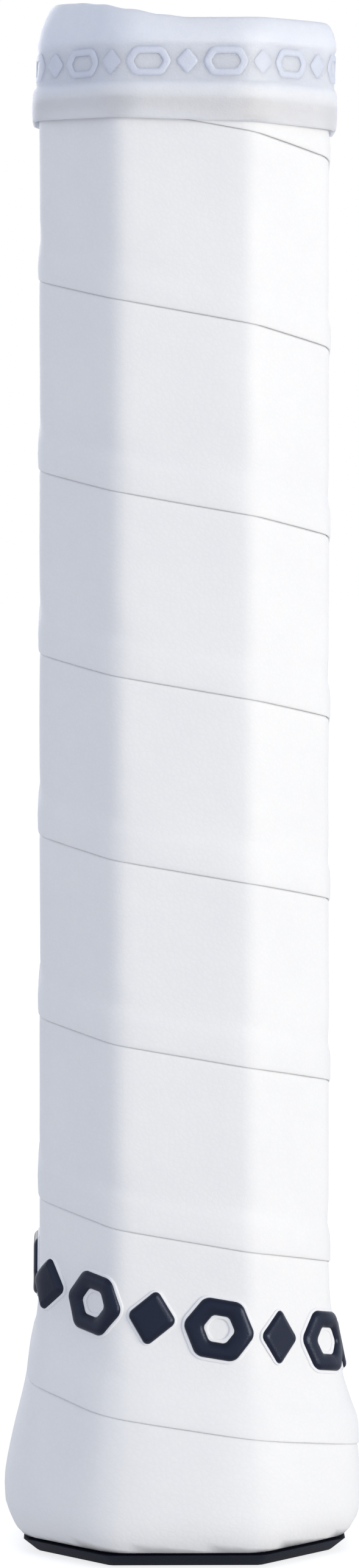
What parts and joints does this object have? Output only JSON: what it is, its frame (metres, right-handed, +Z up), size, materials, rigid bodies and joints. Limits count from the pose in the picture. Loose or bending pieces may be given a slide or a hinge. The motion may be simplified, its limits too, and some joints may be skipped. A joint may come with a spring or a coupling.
{
  "type": "racket handle grip",
  "caption": "Octagonal racket handle wound with a white lapped grip tape, with a flared butt cap, a row of raised marks and a soft collar.",
  "frame": {"origin": "middle of the butt's end face, on the handle's axis", "axes": "+Z up along the handle from butt to collar, -Y out of the front wide flat, +X to the right seen from the front"},
  "size_m": [0.0419, 0.038, 0.1814],
  "materials": {
    "grip_white": "smooth matt synthetic leather, softly grained",
    "backing_felt": "needled felt",
    "cap_navy": "satin moulded plastic",
    "mark_navy": "semi-gloss domed rubber",
    "collar_milky": "milky soft rubber with a satin surface",
    "band_clear": "smooth adhesive band",
    "pallet_foam": "rigid moulded foam with fine cells",
    "carbon": "bare carbon laminate",
    "core_foam": "light closed-cell foam",
    "lead_grey": "dull cast lead",
    "staple_steel": "bright flat wire"
  },
  "bodies": {
    "handle": {"grip_skin": "grip_white", "grip_backing": "backing_felt", "butt_cap": "cap_navy", "finishing_tape": "band_clear", "pallet_front": "pallet_foam", "pallet_back": "pallet_foam", "shaft_tube_left": "carbon", "shaft_tube_right": "carbon", "foam_core_left": "core_foam", "foam_core_right": "core_foam", "tail_weight_left": "lead_grey", "tail_weight_right": "lead_grey", "raised_mark_01": "mark_navy", "raised_mark_02": "mark_navy", "raised_mark_03": "mark_navy", "raised_mark_04": "mark_navy", "raised_mark_05": "mark_navy", "raised_mark_06": "mark_navy", "raised_mark_07": "mark_navy", "raised_mark_08": "mark_navy", "raised_mark_09": "mark_navy", "raised_mark_10": "mark_navy", "raised_mark_11": "mark_navy", "raised_mark_12": "mark_navy", "raised_mark_13": "mark_navy", "raised_mark_14": "mark_navy", "cap_staple_front": "staple_steel", "cap_staple_right": "staple_steel", "cap_staple_back": "staple_steel", "cap_staple_left": "staple_steel"},
    "collar": {"grip_collar": "collar_milky"},
    "door": {"butt_door": "cap_navy"}
  },
  "joints": [
    {"name": "collar_slide", "type": "slide", "parent": "handle", "child": "collar", "axis": [0, 0, 1], "range_m": [0, 0.03]},
    {"name": "door_pull", "type": "slide", "parent": "handle", "child": "door", "axis": [0, 0, -1], "range_m": [0, 0.012]}
  ]
}
